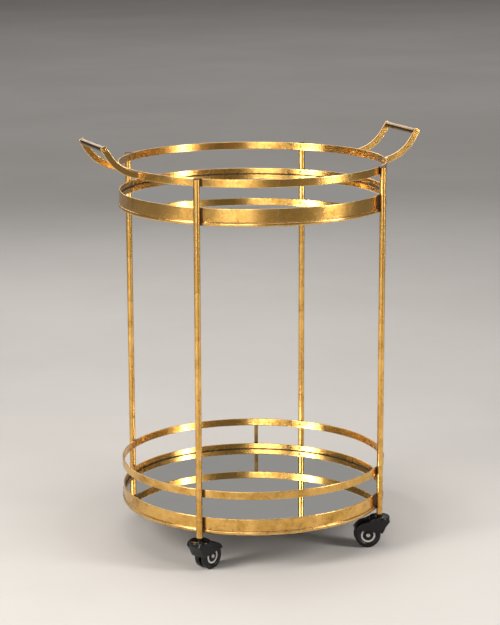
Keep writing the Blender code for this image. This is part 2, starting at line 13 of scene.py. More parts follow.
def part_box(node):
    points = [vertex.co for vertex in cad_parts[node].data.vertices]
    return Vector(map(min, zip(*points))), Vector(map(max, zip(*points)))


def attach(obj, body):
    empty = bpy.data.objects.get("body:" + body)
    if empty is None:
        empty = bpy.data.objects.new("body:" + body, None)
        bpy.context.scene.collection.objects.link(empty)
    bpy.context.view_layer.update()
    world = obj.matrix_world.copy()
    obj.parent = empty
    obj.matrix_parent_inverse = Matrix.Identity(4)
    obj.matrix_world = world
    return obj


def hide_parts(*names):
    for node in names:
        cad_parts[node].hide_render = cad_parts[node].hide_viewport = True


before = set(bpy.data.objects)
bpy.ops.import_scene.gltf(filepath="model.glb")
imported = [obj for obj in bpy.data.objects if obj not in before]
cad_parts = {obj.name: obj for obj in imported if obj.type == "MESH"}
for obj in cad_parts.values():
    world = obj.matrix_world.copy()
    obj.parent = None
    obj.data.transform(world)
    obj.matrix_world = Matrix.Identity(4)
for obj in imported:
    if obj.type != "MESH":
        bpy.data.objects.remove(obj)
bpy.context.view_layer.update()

CORNERS = ("front_left", "front_right", "back_left", "back_right")
GAP = 0.0003  # left between neighbouring parts of the cart
UP = Vector((0.0, 0.0, 1.0))

# ------ from the frame
RAIL_LOW, RAIL_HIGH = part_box("upper_gallery_rail")
RING_RADIUS = RAIL_HIGH.x
RAIL_HEIGHT = RAIL_HIGH.z - RAIL_LOW.z
FRAME_Z = (RAIL_HIGH.z + RAIL_LOW.z) / 2.0
GRIP_LOW, GRIP_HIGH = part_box("grip_right")
GRIP_X = (GRIP_LOW.x + GRIP_HIGH.x) / 2.0
GRIP_Z = (GRIP_LOW.z + GRIP_HIGH.z) / 2.0
GRIP_RADIUS = (GRIP_HIGH.z - GRIP_LOW.z) / 2.0

# ------ cart sizes
RAIL_THICKNESS = 0.003
RAIL_EASE = 0.0008
TRAY_WALL = 0.0026
BEAD_PROUD = 0.0018
BEAD_HEIGHT = 0.0068
GROOVE_DEPTH = 0.0009
GROOVE_HEIGHT = 0.0011
LEDGE_WIDTH = 0.011
LEDGE_THICKNESS = 0.0022
RING_STEPS = 240
WAVER = 0.00014  # unevenness of a rolled strip
WAVER_RATE = 7.0
# The dark fillet round each mirror is painted shade for the dark edge of the glass.
DARK_EDGE_WAVER = 0.0002
DARK_EDGE_RATE = 22.0
MIRROR_EASE = 0.0006
BOARD_EASE = 0.0004
POST_WALL = 0.001
POST_EASE = 0.0005
POST_STEPS = 32
POST_LEVELS = 48
POST_SAG = 0.00006
ARM_THICKNESS = 0.0035
ARM_HEIGHT = 0.0120
ARM_BEND_RADIUS = 0.0846
ARM_TIP_SLOPE = math.radians(58.0)
ARM_STRAIGHT = 0.0152
ARM_PAST_GRIP = 0.0059
ARM_CORNER = 0.0034
ARM_EDGE = 0.0007
ARM_FOOT_STEPS = 8
ARM_CURVE_STEPS = 30
ARM_CORNER_STEPS = 8
FOOT_THICKNESS = 0.0027
FOOT_BEND = 0.0034
FOOT_END = math.radians(16.6)
FOOT_SLIMMER = 0.0003  # how much lower the foot is than the arm, at each edge
FOOT_INSETS = (0.0009, 0.0003, 0.0)  # rounding of the foot's end, section by section
FOOT_SHIFTS = (0.0, 0.0002, 0.0)  # and how far each section is moved along the rail for it
FOOT_SCREW_FROM_END = 0.0052
ARM_SPREAD = GRIP_HIGH.y + GAP + ARM_THICKNESS / 2.0
GRIP_STEPS = 24
GRIP_SWELL = 0.00005
HANDLE_SCREW_RADIUS = 0.0036
HANDLE_SCREW_SHANK = 0.0019
FOOT_SCREW_HEAD = 0.0020
FOOT_SCREW_REACH = 0.0091
FOOT_SCREW_THREAD = 0.0022
GRIP_SCREW_HEAD = 0.0009
GRIP_SCREW_REACH = 0.0060
RING_SCREW_RADIUS = 0.0027
RING_SCREW_HEAD = 0.0013
RING_SCREW_SHANK = 0.0012
RING_SCREW_REACH = 0.0012
SCREW_STEPS = 36
DOME_STEPS = 7
THREAD_PITCH = 0.0005
TRAY_SCREW_DROP = 0.0052  # from the tray ring's top edge
STAY_AZIMUTH = math.radians(66.0)
STAY_THICKNESS = 0.0022
STAY_WIDTH = 0.0075
STAY_LEVELS = 24
RIVET_STEPS = 24
RIVET_FROM_TOP = 0.0068
RIVET_FROM_BOTTOM = 0.0150

# ------ casters
WHEEL_RADIUS = 0.025
WHEEL_WIDTH = 0.0105
WEB_THICKNESS = 0.0048
RUN = 0.0004  # clearance of a turning part
CASTER_TRAIL = 0.024
AXLE_RADIUS = 0.004
BAND_OUTER = 0.0143
BAND_INNER = 0.0108
DISH_DEPTH = 0.0022
DISH_RADIUS = 0.0158
HOOD_WALL = 0.0020
HOOD_WHEEL_GAP = 0.0012
HOOD_SIDE_GAP = 0.0008
# Points of the hood's side view: reach behind the hub in hood radii, height over it in wheel radii.
NOSE = ((1.0, 0.13), (1.13, 0.38), (1.215, 0.62))
VISOR_START = 88.0  # degrees round the hub, as are the eye's
VISOR_END = 25.0
VISOR_STEPS = 28
HOOD_ROUNDING = 0.0014
TURRET_RADIUS = 0.0205
TURRET_HEIGHT = 0.009
TURRET_STEPS = 72
EYE_RADIUS = 0.0085
EYE_START = -150.0
EYE_END = 35.0
EYE_STEPS = 28
WHEEL_STEPS = 96
PIN_STEPS = 48
TREAD_SHOULDER = 0.0030
SHOULDER_STEPS = 8
PARTING_HALF = 0.0003
PARTING_DEPTH = 0.00012
STEM_RADIUS = 0.0035
STEM_SHOULDER = 0.0045
STEM_BORE_DEPTH = 0.0133
BUSH_RADIUS = 0.0047
WHEEL_OUTER = WEB_THICKNESS / 2.0 + RUN + WHEEL_WIDTH
HOOD_HALF = WHEEL_OUTER + HOOD_SIDE_GAP + HOOD_WALL
HOOD_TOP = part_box("caster_hood_front_left")[1].z


# ------ mesh tools
SHARP_ANGLE = math.radians(38.0)
HOOD_SHARP_ANGLE = math.radians(34.0)
BEVEL_ANGLE = math.radians(40.0)
EASE_STEPS = 3
EASE_SPREAD = 0.0008  # strip of flat beside each rounded corner, for the wear to fade over
EASE_SHARE = 0.3


def finish_mesh(bm, name):
    bmesh.ops.recalc_face_normals(bm, faces=bm.faces)
    mesh = bpy.data.meshes.new(name)
    bm.to_mesh(mesh)
    bm.free()
    mesh.shade_smooth()
    mesh.set_sharp_from_angle(angle=SHARP_ANGLE)
    return mesh


def loft(name, rows, wear, closed, along=None):
    """Skin a row of equal loops.

    Each corner gets its place on the strip, in metres, as the map "strip", and each point how worn it
    is, as "wear".
    """
    count = len(rows)
    size = len(rows[0])
    around = [0.0]
    for index in range(size):
        around.append(around[-1] + (rows[0][(index + 1) % size] - rows[0][index]).length)
    if along is None:
        along = [0.0]
        for index, row in enumerate(rows):
            after = rows[(index + 1) % count]
            along.append(along[-1] + max((after[j] - row[j]).length for j in range(0, size, 4)))
    bm = bmesh.new()
    strip = bm.loops.layers.uv.new("strip")
    worn = bm.verts.layers.float.new("wear")
    grid = []
    for row, amounts in zip(rows, wear):
        line = [bm.verts.new(point) for point in row]
        for vert, amount in zip(line, amounts):
            vert[worn] = amount
        grid.append(line)
    for index in range(count if closed else count - 1):
        near = grid[index]
        far = grid[(index + 1) % count]
        for j in range(size):
            k = (j + 1) % size
            face = bm.faces.new((near[j], near[k], far[k], far[j]))
            for loop, (on, over) in zip(face.loops, ((0, 0), (0, 1), (1, 1), (1, 0))):
                loop[strip].uv = (along[index + on], around[j + over])
    if not closed:
        for end, line in ((0, grid[0]), (count - 1, grid[-1])):
            face = bm.faces.new(line)
            for loop, reach in zip(face.loops, around):
                loop[strip].uv = (along[end], reach)
    return finish_mesh(bm, name)


def eased(corners):
    """Round the corners (x, y, radius) of a closed outline.

    Returns its points and how worn each one is.
    """
    points = []
    worn = []
    count = len(corners)
    for index, (x, y, radius) in enumerate(corners):
        here = Vector((x, y))
        before = Vector(corners[index - 1][:2]) - here
        after = Vector(corners[(index + 1) % count][:2]) - here
        if radius <= 0.0:
            points.append(here)
            worn.append(0.0)
            continue
        half = before.angle(after) / 2.0
        reach = radius / math.tan(half)
        inward = (before.normalized() + after.normalized()).normalized()
        middle = here + inward * (radius / math.sin(half))
        start = here + before.normalized() * reach
        end = here + after.normalized() * reach
        turn_start = math.atan2(start.y - middle.y, start.x - middle.x)
        turn = math.atan2(end.y - middle.y, end.x - middle.x) - turn_start
        turn = (turn + math.pi) % math.tau - math.pi
        flat = min(EASE_SPREAD, EASE_SHARE * (before.length - reach))
        points.append(start + before.normalized() * flat)
        worn.append(0.0)
        for step in range(EASE_STEPS + 1):
            angle = turn_start + turn * step / EASE_STEPS
            points.append(middle + Vector((math.cos(angle), math.sin(angle))) * radius)
            worn.append(1.0)
        flat = min(EASE_SPREAD, EASE_SHARE * (after.length - reach))
        points.append(end + after.normalized() * flat)
        worn.append(0.0)
    return points, worn


def level_way(angle):
    return Vector((math.cos(angle), math.sin(angle), 0.0))


def waver(angle, seed, rate):
    """Smooth unevenness from -1 to 1 round a ring."""
    return noise.noise(Vector((math.cos(angle) * rate, math.sin(angle) * rate, seed)))


def ring_mesh(name, corners, seed, amount=WAVER, rate=WAVER_RATE):
    """Spin a (radius, height, rounding) outline round Z, a little unevenly.

    It strays only to the inside of its true radius, and never past its top or bottom.
    """
    outline, worn = eased(corners)
    top = max(point.y for point in outline)
    bottom = min(point.y for point in outline)
    rows = []
    for step in range(RING_STEPS):
        angle = math.tau * step / RING_STEPS
        shift = -amount * (0.5 + 0.5 * waver(angle, seed, rate))
        lift = amount * waver(angle, seed + 20.0, rate)
        way = level_way(angle)
        row = []
        for point in outline:
            height = min(max(point.y + lift, bottom), top)
            row.append(way * (point.x + shift) + UP * height)
        rows.append(row)
    along = [RING_RADIUS * math.tau * step / RING_STEPS for step in range(RING_STEPS + 1)]
    return loft(name, rows, [worn] * RING_STEPS, True, along)


def circle(radius, height, steps):
    turns = [math.tau * step / steps for step in range(steps)]
    return [Vector((radius * math.cos(turn), radius * math.sin(turn), height)) for turn in turns]


def polygon(radius, height, steps, sides):
    """Loop of points along a regular polygon of that inner radius."""
    points = []
    wedge = math.tau / sides
    for step in range(steps):
        turn = math.tau * step / steps
        off = (turn + wedge / 2.0) % wedge - wedge / 2.0
        reach = radius / math.cos(off)
        points.append(Vector((reach * math.cos(turn), reach * math.sin(turn), height)))
    return points


def stacked(name, profile, steps, closed=False):
    """Solid of revolution about Z from (radius, height), or (radius, height, wear) where it is worn."""
    rows = [circle(row[0], row[1], steps) for row in profile]
    wear = [[row[2] if len(row) > 2 else 0.0] * steps for row in profile]
    return loft(name, rows, wear, closed)


def piece(name, mesh, look, slot, *nodes, body="frame", place=None):
    """Visible piece on its body, standing for the CAD nodes given."""
    thing = bpy.data.objects.new(name, mesh)
    bpy.context.scene.collection.objects.link(thing)
    if not mesh.materials:
        mesh.materials.append(MATERIALS[look])
    if place is not None:
        thing.matrix_world = place
    bpy.context.view_layer.update()
    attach(thing, body)
    if nodes:
        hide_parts(*nodes)
    return thing


def lined_up(point, way):
    """Placement with local +Z along way."""
    turn = UP.rotation_difference(Vector(way)).to_matrix().to_4x4()
    return Matrix.Translation(Vector(point)) @ turn


# ------ material tools
class Shader:
    """A material under construction."""

    def __init__(self, name):
        self.material = bpy.data.materials.new(name)
        self.material.use_nodes = True
        self.tree = self.material.node_tree
        self.surface = self.tree.nodes["Principled BSDF"]

    def node(self, kind, inputs=None, **settings):
        """New node with these settings, and these values or links on its inputs."""
        made = self.tree.nodes.new(kind)
        for key, value in settings.items():
            setattr(made, key, value)
        for key, value in (inputs or {}).items():
            self.feed(made.inputs[key], value)
        return made

    def feed(self, socket, value):
        if isinstance(value, bpy.types.NodeSocket):
            self.tree.links.new(value, socket)
        elif socket.type == "RGBA":
            socket.default_value = (*value, 1.0)
        else:
            socket.default_value = value

    def coords(self):
        """Place in the piece's own space, in metres."""
        return self.node("ShaderNodeTexCoord").outputs["Object"]

    def strip(self):
        """Place along and across the strip, in metres."""
        return self.node("ShaderNodeUVMap", uv_map="strip").outputs["UV"]

    def stretch(self, vector, scale, offset=(0.0, 0.0, 0.0)):
        inputs = {"Vector": vector, "Scale": scale, "Location": offset}
        return self.node("ShaderNodeMapping", inputs).outputs["Vector"]

    def noise(self, vector, scale, detail=4.0, rough=0.6, warp=0.0):
        inputs = {"Vector": vector, "Scale": scale, "Detail": detail, "Roughness": rough}
        made = self.node("ShaderNodeTexNoise", inputs)
        made.inputs["Distortion"].default_value = warp
        return made.outputs["Fac"]

    def math(self, operation, first, second=0.0):
        made = self.node("ShaderNodeMath", {0: first, 1: second}, operation=operation)
        return made.outputs[0]

    def plus(self, first, second):
        return self.math("ADD", first, second)

    def minus(self, first, second):
        return self.math("SUBTRACT", first, second)

    def times(self, first, second):
        return self.math("MULTIPLY", first, second)

    def span(self, value, low, high, out_low=0.0, out_high=1.0):
        """Smooth step of a value into another range."""
        inputs = {"Value": value, "From Min": low, "From Max": high, "To Min": out_low, "To Max": out_high}
        made = self.node("ShaderNodeMapRange", inputs, interpolation_type="SMOOTHSTEP")
        return made.outputs["Result"]

    def mix(self, amount, first, second):
        """First colour where the amount is 0, second where it is 1."""
        inputs = {"Factor": amount, 6: first, 7: second}
        return self.node("ShaderNodeMix", inputs, data_type="RGBA").outputs[2]

    def bump(self, height, distance, strength, normal=None):
        inputs = {"Height": height, "Distance": distance, "Strength": strength}
        if normal is not None:
            inputs["Normal"] = normal
        return self.node("ShaderNodeBump", inputs).outputs["Normal"]

    def set(self, **values):
        """Set or link the main shader's inputs, with _ for a space in a name."""
        for key, value in values.items():
            self.feed(self.surface.inputs[key.replace("_", " ")], value)
        return self.material


# ------ materials
BRIGHT_GOLD = (0.83, 0.50, 0.150)
DEEP_GOLD = (0.50, 0.275, 0.060)
RUBBED_GOLD = (0.95, 0.74, 0.40)
BOLE = (0.070, 0.030, 0.010)
LEAF = 0.078  # length of one sheet of leaf


def shaded(colour, shade):
    return tuple(shade * channel for channel in colour)


def gold_leaf(name, patina, seed, brush=1.0, lumps=1.0, dust_and_painted_shade=0.0, shade=1.0):
    """Sheets of leaf over brown size, with faint seams, rubbed edges, mottling and brush marks.

    Patina is how much of the brown shows through.  The painted shade darkens the outside of a ring
    where the four posts stand against it, for the posts' shadow and dark reflection there.
    """
    s = Shader(name)
    where = s.stretch(s.coords(), (1.0, 1.0, 1.0), (seed, 0.37 * seed, 0.11 * seed))
    strip = s.strip()
    clouds = s.noise(where, 17.0, 3.0, 0.55, 0.5)
    mottle = s.noise(where, 95.0, 5.0, 0.62, 0.7)
    grain = s.noise(where, 900.0, 3.0, 0.6)
    streaks = s.noise(s.stretch(strip, (22.0, 900.0, 1.0)), 1.0, 4.0, 0.62)
    fine = s.noise(s.stretch(strip, (70.0, 3200.0, 1.0)), 1.0, 2.0, 0.6)

    apart = s.node("ShaderNodeSeparateXYZ")
    s.feed(apart.inputs[0], strip)
    bent = s.times(s.minus(s.noise(where, 60.0, 3.0), 0.5), 0.16)
    sheets = s.plus(s.math("DIVIDE", apart.outputs["X"], LEAF), bent)
    part = s.math("FRACT", sheets)
    tone = s.node("ShaderNodeTexWhiteNoise", noise_dimensions="1D")
    s.feed(tone.inputs["W"], s.plus(s.math("FLOOR", sheets), seed))
    seam = s.times(s.span(part, 0.010, 0.0), s.span(mottle, 0.42, 0.58))
    lap = s.span(part, 0.0, 0.07, 1.0, 0.0)

    wear = s.node("ShaderNodeAttribute", attribute_type="GEOMETRY", attribute_name="wear")
    wear = wear.outputs["Fac"]
    rubbed = s.times(s.span(wear, 0.3, 1.0), s.span(mottle, 0.80, 0.40))
    flakes = s.span(s.noise(where, 190.0, 3.0, 0.6), 0.64, 0.70)
    chip = s.times(s.span(wear, 0.5, 1.0), flakes)

    depth = s.plus(s.times(clouds, 0.62), s.times(mottle, 0.38))
    for value, amount in ((tone.outputs["Value"], 0.08), (streaks, 0.22 * brush)):
        depth = s.plus(depth, s.times(s.minus(value, 0.5), amount))
    bare = shaded(RUBBED_GOLD, shade)
    colour = s.mix(s.span(depth, 0.36, 0.68), shaded(BRIGHT_GOLD, shade), shaded(DEEP_GOLD, shade))
    brown = s.plus(s.times(clouds, 0.40), s.times(mottle, 0.65))
    brown = s.times(s.span(brown, 0.600, 0.74), patina)
    specks = s.times(s.span(grain, 0.66, 0.74), s.span(mottle, 0.48, 0.64))
    dark = s.math("MAXIMUM", brown, s.times(specks, 0.70 * patina))
    dark = s.math("MAXIMUM", dark, s.times(seam, 0.40))
    dark = s.math("MAXIMUM", dark, s.times(chip, 0.35 * patina))
    # Painted shade beside the posts, for their shadow and dark reflection on the ring's outside.
    if dust_and_painted_shade:
        place = s.node("ShaderNodeSeparateXYZ")
        s.feed(place.inputs[0], s.coords())
        x, y = place.outputs["X"], place.outputs["Y"]
        # Distance from the nearer of the two diagonals, on which the posts stand.
        off = s.minus(s.math("ABSOLUTE", x), s.math("ABSOLUTE", y))
        off = s.times(s.math("ABSOLUTE", off), math.sqrt(0.5))
        off = s.plus(off, s.times(s.minus(mottle, 0.5), 0.006))
        flat = s.node("ShaderNodeCombineXYZ")
        s.feed(flat.inputs["X"], x)
        s.feed(flat.inputs["Y"], y)
        reach = s.node("ShaderNodeVectorMath", operation="LENGTH")
        s.feed(reach.inputs[0], flat.outputs[0])
        outside = s.span(reach.outputs["Value"], RING_RADIUS - 0.0028, RING_RADIUS - 0.0022)
        # Painted shade, strongest beside each post and fading along the ring.
        post_shade = s.times(s.span(off, 0.0075, 0.0115, dust_and_painted_shade, 0.0), outside)
        dark = s.math("MAXIMUM", dark, post_shade)
    colour = s.mix(s.times(rubbed, 0.40), colour, bare)
    colour = s.mix(s.times(lap, 0.15), colour, bare)
    colour = s.mix(dark, colour, BOLE)
    rough = s.span(depth, 0.38, 0.70, 0.19, 0.33)
    rough = s.plus(rough, s.times(dark, 0.28))
    rough = s.plus(rough, s.times(s.minus(fine, 0.5), 0.12 * brush))
    metal = s.span(dark, 0.25, 1.0, 1.0, 0.45)

    normal = s.bump(clouds, 0.0008 * lumps, 0.35)
    normal = s.bump(mottle, 0.00010 * lumps, 0.7, normal)
    normal = s.bump(grain, 0.00002, 0.6, normal)
    brushed = s.plus(streaks, s.times(fine, 0.4))
    normal = s.bump(brushed, 0.00003, 0.6 * brush, normal)
    raised = s.minus(s.times(lap, 0.3), chip)
    normal = s.bump(raised, 0.00002, 0.6, normal)
    return s.set(Base_Color=colour, Roughness=rough, Metallic=metal, Normal=normal)


def mirror_glass():
    """Clean mirror with a thin uneven film and specks of dust."""
    s = Shader("mirror_glass")
    where = s.coords()
    haze = s.noise(where, 9.0, 5.0, 0.62, 0.6)
    wipes = s.noise(s.stretch(where, (14.0, 90.0, 1.0)), 1.0, 3.0, 0.6)
    dust = s.span(s.noise(where, 1400.0, 2.0, 0.5), 0.72, 0.80)
    film = s.times(s.span(haze, 0.42, 0.70), s.span(wipes, 0.30, 0.75))
    rough = s.plus(s.times(film, 0.045), s.times(dust, 0.10))
    colour = s.mix(s.times(film, 0.35), (0.86, 0.88, 0.87), (0.76, 0.77, 0.76))
    return s.set(Base_Color=colour, Roughness=s.plus(rough, 0.012), Metallic=1.0)


def moulded(name, colour, roughness, seed, dust_and_painted_shade):
    """Moulded plastic with a fine texture, scuffs and settled dust."""
    s = Shader(name)
    where = s.stretch(s.coords(), (1.0, 1.0, 1.0), (seed, seed, seed))
    cloud = s.noise(where, 70.0, 4.0, 0.6)
    grain = s.noise(where, 2600.0, 2.0, 0.5)
    scuff = s.span(s.noise(s.stretch(where, (220.0, 60.0, 900.0)), 1.0, 4.0, 0.6), 0.60, 0.72)
    light = tuple(min(1.0, 0.06 + 1.5 * channel) for channel in colour)
    # On plastic this amount is settled dust and scuffs only.
    tint = s.times(s.span(cloud, 0.40, 0.75), dust_and_painted_shade)
    tint = s.plus(tint, s.times(scuff, 0.35 * dust_and_painted_shade))
    rough = s.span(cloud, 0.3, 0.7, roughness - 0.05, roughness + 0.10)
    rough = s.plus(rough, s.times(scuff, 0.15))
    normal = s.bump(grain, 0.00003, 0.5)
    normal = s.bump(cloud, 0.0002, 0.25, normal)
    colour = s.mix(tint, colour, light)
    return s.set(Base_Color=colour, Roughness=rough, Normal=normal, Specular_IOR_Level=0.3)


def brushed_steel(name, shade):
    """Steel with fine lines across its length."""
    s = Shader(name)
    where = s.coords()
    lines = s.noise(s.stretch(where, (60.0, 60.0, 4000.0)), 1.0, 3.0, 0.6)
    cloud = s.noise(where, 160.0, 4.0, 0.6)
    light = shaded((0.62, 0.61, 0.59), shade)
    dull = shaded((0.40, 0.38, 0.36), shade)
    colour = s.mix(s.span(cloud, 0.35, 0.72), light, dull)
    rough = s.plus(s.span(cloud, 0.3, 0.7, 0.22, 0.38), s.times(lines, 0.10))
    normal = s.bump(lines, 0.00003, 0.5)
    return s.set(Base_Color=colour, Roughness=rough, Metallic=1.0, Normal=normal)


def painted_board():
    """Fibre board under a thin dark paint."""
    s = Shader("painted_board")
    where = s.coords()
    fibre = s.noise(s.stretch(where, (500.0, 900.0, 500.0)), 1.0, 4.0, 0.65, 0.5)
    cloud = s.noise(where, 16.0, 4.0, 0.6)
    colour = s.mix(s.span(fibre, 0.35, 0.75), (0.035, 0.026, 0.020), (0.075, 0.056, 0.042))
    colour = s.mix(s.span(cloud, 0.5, 0.75, 0.0, 0.35), colour, (0.11, 0.085, 0.06))
    rough = s.span(fibre, 0.3, 0.7, 0.62, 0.80)
    return s.set(Base_Color=colour, Roughness=rough, Normal=s.bump(fibre, 0.0001, 0.6))


MATERIALS = {
    "ring": gold_leaf("leaf_on_ring", patina=0.50, seed=0.3, lumps=0.7, dust_and_painted_shade=0.97),
    "rail": gold_leaf("leaf_on_rail", patina=0.45, seed=3.1, lumps=0.6, dust_and_painted_shade=0.97),
    "post": gold_leaf("leaf_on_post", patina=0.45, seed=5.7, brush=0.6, lumps=0.3),
    "handle": gold_leaf("leaf_on_handle", patina=0.40, seed=8.2, brush=0.8, lumps=0.3),
    # The grips' leaf is darkened (shade 0.22): a darker worn finish, and in part painted shade for the
    # dark reflections the bars show.
    "grip": gold_leaf("leaf_on_grip", patina=0.30, seed=11.4, lumps=0.4, shade=0.22),
    "screw": gold_leaf("leaf_on_screw", patina=0.9, seed=14.6, brush=0.5, lumps=0.3, shade=0.85),
    # The stay's leaf is darkened almost to black (shade 0.12): painted shade for the shadow and dark
    # reflection on the strip, over heavy patina.
    "stay": gold_leaf("leaf_on_stay", patina=1.0, seed=17.2, brush=0.6, lumps=0.4, shade=0.12),
    "mirror": mirror_glass(),
    "hood": moulded("hood_plastic", (0.004, 0.004, 0.0045), roughness=0.17, seed=1.0, dust_and_painted_shade=0.03),
    "tread": moulded("tread_plastic", (0.005, 0.005, 0.0055), roughness=0.26, seed=4.0, dust_and_painted_shade=0.07),
    "band": moulded("band_plastic", (0.46, 0.46, 0.44), roughness=0.42, seed=7.0, dust_and_painted_shade=0.35),
    "plug": moulded("plug_plastic", (0.030, 0.016, 0.008), roughness=0.36, seed=9.0, dust_and_painted_shade=0.15),
    # Painted shade: dark fillet round the mirror glass, for the dark line at the glass's edge.
    "dark_edge": moulded("painted_dark_glass_edge", (0.014, 0.010, 0.008), roughness=0.50, seed=12.0, dust_and_painted_shade=0.20),
    "steel": brushed_steel("brushed_steel", shade=1.0),
    "pin": brushed_steel("blackened_steel", shade=0.10),
    "board": painted_board(),
}


# ------ trays
def tray_corners(height, ledge_top):
    """Outline of a tray ring as (radius, height, rounding): wall, groove, bead, and a ledge inside."""
    wall = RING_RADIUS - BEAD_PROUD
    inner = wall - TRAY_WALL
    ledge = inner - LEDGE_WIDTH
    return [
        (wall, height, 0.0009),
        (wall, BEAD_HEIGHT + GROOVE_HEIGHT, 0.0004),
        (wall - GROOVE_DEPTH, BEAD_HEIGHT, 0.0002),
        (RING_RADIUS, BEAD_HEIGHT - 0.0002, 0.0016),
        (RING_RADIUS, 0.0, 0.0020),
        (inner, 0.0, 0.0006),
        (inner, ledge_top - LEDGE_THICKNESS, 0.0),
        (ledge, ledge_top - LEDGE_THICKNESS, 0.0006),
        (ledge, ledge_top, 0.0006),
        (inner, ledge_top, 0.0),
        (inner, height, 0.0009),
    ]


def rail_corners():
    """Outline of a gallery rail as (radius, height, rounding)."""
    high = RAIL_HEIGHT / 2.0
    inner = RING_RADIUS - RAIL_THICKNESS
    return [
        (RING_RADIUS, high, RAIL_EASE),
        (RING_RADIUS, -high, RAIL_EASE),
        (inner, -high, RAIL_EASE),
        (inner, high, RAIL_EASE),
    ]


def dark_edge_corners(radius):
    """Narrow dark fillet where the glass meets the ring: painted shade for the dark line at the edge of
    the glass's thickness.
    """
    return [
        (radius, 0.0014, 0.0002),
        (radius - 0.0005, 0.0013, 0.0004),
        (radius - 0.0015, 0.0002, 0.0002),
        (radius, 0.0002, 0.0),
    ]


def disc_mesh(name, radius, low, high, ease):
    """Flat disc with eased rims."""
    profile = [
        (radius - 3.0 * ease, low),
        (radius - ease, low),
        (radius - 0.3 * ease, low + 0.3 * ease, 1.0),
        (radius, low + ease, 1.0),
        (radius, high - ease, 1.0),
        (radius - 0.3 * ease, high - 0.3 * ease, 1.0),
        (radius - ease, high),
        (radius - 3.0 * ease, high),
    ]
    return stacked(name, profile, RING_STEPS)


def add_tier(tier, seed):
    """One tray: its ring, the rail over it, the mirror with a painted dark edge, and the board underneath.
    """
    low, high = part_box(f"{tier}_tray_ring")
    board_low, board_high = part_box(f"{tier}_backing_board")
    glass_low, glass_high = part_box(f"{tier}_mirror")
    rail_low, rail_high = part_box(f"{tier}_gallery_rail")

    name, node = f"{tier}_tray_hoop", f"{tier}_tray_ring"
    ring = ring_mesh(name, tray_corners(high.z - low.z, board_low.z - GAP - low.z), seed)
    up = Matrix.Translation(UP * low.z)
    piece(name, ring, "ring", "gold_leaf", node, place=up)

    name, node = f"{tier}_rail_hoop", f"{tier}_gallery_rail"
    rail = ring_mesh(name, rail_corners(), seed + 5.0)
    up = Matrix.Translation(UP * ((rail_low.z + rail_high.z) / 2.0))
    piece(name, rail, "rail", "gold_leaf", node, place=up)

    name, node = f"{tier}_mirror_glass", f"{tier}_mirror"
    glass = disc_mesh(name, glass_high.x, glass_low.z, glass_high.z, MIRROR_EASE)
    piece(name, glass, "mirror", "mirror", node)

    # Painted shade: a dark fillet round the glass stands for the dark line at the glass's edge.
    name = f"{tier}_mirror_dark_edge"
    dark_edge = ring_mesh(name, dark_edge_corners(glass_high.x), seed + 9.0, DARK_EDGE_WAVER, DARK_EDGE_RATE)
    up = Matrix.Translation(UP * glass_high.z)
    piece(name, dark_edge, "dark_edge", "black_plastic", place=up)

    name, node = f"{tier}_back_panel", f"{tier}_backing_board"
    board = disc_mesh(name, board_high.x, board_low.z, board_high.z, BOARD_EASE)
    piece(name, board, "board", "backing_board", node)


# ------ posts
def post_mesh(name, radius, low, high, seed):
    """Long tube, a hair uneven, with eased ends and an open bore."""
    bore = radius - POST_WALL
    profile = []
    for level in range(POST_LEVELS + 1):
        share = level / POST_LEVELS
        z = low + POST_EASE + (high - low - 2.0 * POST_EASE) * share
        sag = POST_SAG * (0.5 + 0.5 * noise.noise(Vector((seed, 9.0 * z, 0.0))))
        profile.append((radius - sag, z))
    profile += [
        (radius - POST_EASE, high, 1.0),
        (bore, high),
        (bore, low),
        (radius - POST_EASE, low, 1.0),
    ]
    return stacked(name, profile, POST_STEPS, True)


def upright(node):
    """Point on the floor under the middle of a node."""
    low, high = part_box(node)
    return Vector(((low.x + high.x) / 2.0, (low.y + high.y) / 2.0, 0.0))


def add_posts():
    """Tubes, and the domed plugs in their tops."""
    for index, corner in enumerate(CORNERS):
        name, node = f"post_tube_{corner}", f"post_{corner}"
        low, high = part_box(node)
        radius = (high.x - low.x) / 2.0
        place = Matrix.Translation(upright(node))
        tube = post_mesh(name, radius, low.z, high.z, float(index))
        piece(name, tube, "post", "gold_leaf", node, place=place)

        name, node = f"post_plug_{corner}", f"post_cap_{corner}"
        cap_low, cap_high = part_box(node)
        rim = high.z + GAP
        plug = radius - POST_WALL - GAP
        profile = [
            (plug, cap_low.z),
            (plug, rim),
            (radius - 0.0002, rim),
            (radius, rim + 0.0002, 1.0),
            (radius - 0.0001, rim + 0.0005, 1.0),
            (radius - 0.0006, cap_high.z - 0.0002, 1.0),
            (radius - 0.0014, cap_high.z),
            (0.4 * radius, cap_high.z),
        ]
        cap = stacked(name, profile, POST_STEPS)
        piece(name, cap, "plug", "post_plug", node, place=place)


